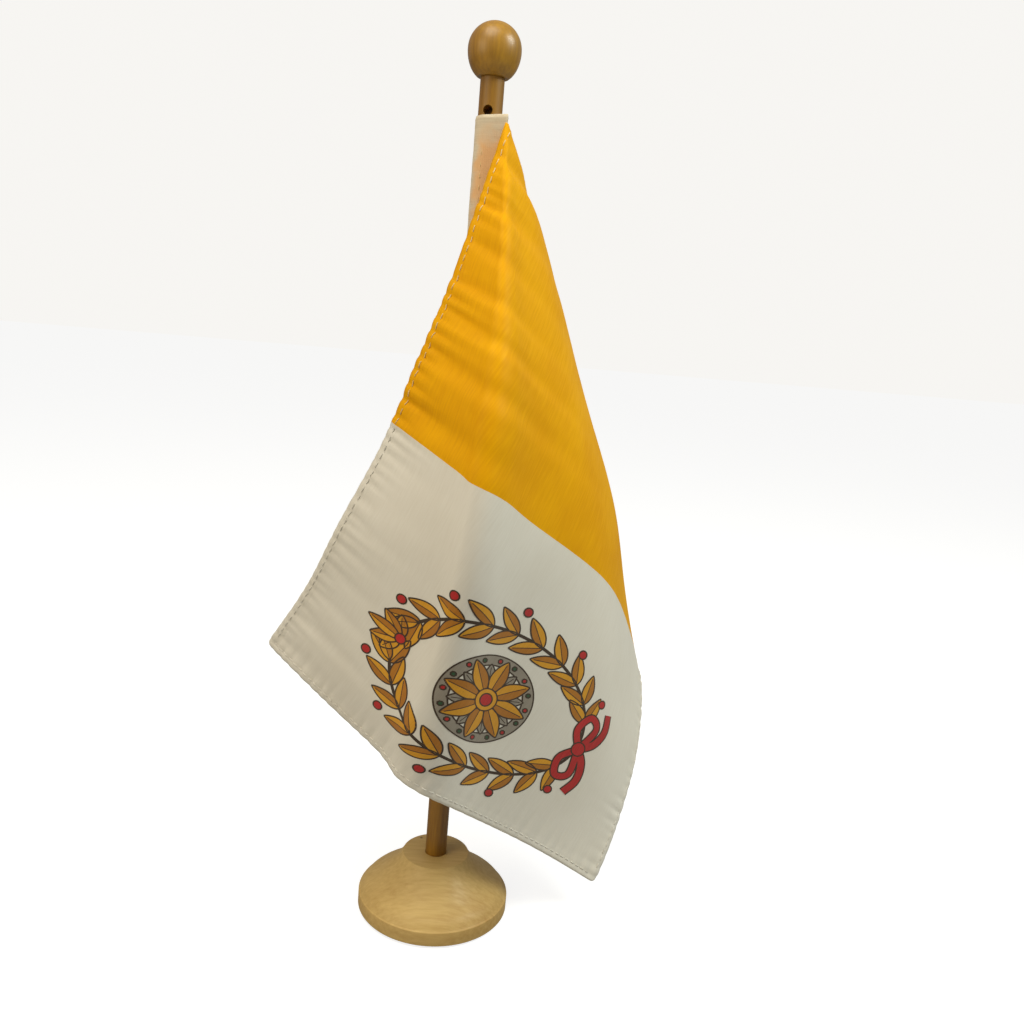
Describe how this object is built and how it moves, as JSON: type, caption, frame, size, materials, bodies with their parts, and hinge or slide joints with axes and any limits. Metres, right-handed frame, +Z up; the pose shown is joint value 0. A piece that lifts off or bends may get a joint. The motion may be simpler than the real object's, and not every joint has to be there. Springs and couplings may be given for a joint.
{
  "type": "desk flag stand",
  "caption": "Turned wooden foot with a round pole, ball finial and a square satin flag hung by its hoist sleeve, free to turn.",
  "frame": {"origin": "where the pole's axis meets the table, at the middle of the foot's underside", "axes": "+Z up along the pole; +X to the right and +Y away from somebody facing the stand"},
  "size_m": [0.1885, 0.1442, 0.3969],
  "materials": {
    "foot_wood": "satin lacquer, pale maple",
    "pole_wood": "satin lacquer, golden brown",
    "ball_wood": "gloss lacquer, golden brown",
    "felt": "wool felt",
    "tape": "white woven tape",
    "gold_satin": "gold polyester satin",
    "white_satin": "white polyester satin",
    "thread": "polyester sewing thread"
  },
  "bodies": {
    "base": {"base_body": "foot_wood", "felt_pad": "felt"},
    "pole": {"pole": "pole_wood", "ball_finial": "ball_wood"},
    "flag": {"hoist_sleeve": "tape", "sleeve_stitching": "thread", "flag_gold_half": "gold_satin", "flag_white_half": "white_satin", "top_hem_gold": "gold_satin", "top_hem_white": "white_satin", "bottom_hem_gold": "gold_satin", "bottom_hem_white": "white_satin", "fly_hem": "white_satin", "top_hem_stitching": "thread", "bottom_hem_stitching": "thread", "fly_hem_stitching": "thread"}
  },
  "joints": [
    {"name": "pole_lift", "type": "slide", "parent": "base", "child": "pole", "axis": [0, 0, 1], "range_m": [0, 0.018]},
    {"name": "flag_swivel", "type": "hinge", "parent": "pole", "child": "flag", "pos_m": [0, 0, 0.23], "axis": [0, 0, 1], "continuous": true}
  ]
}
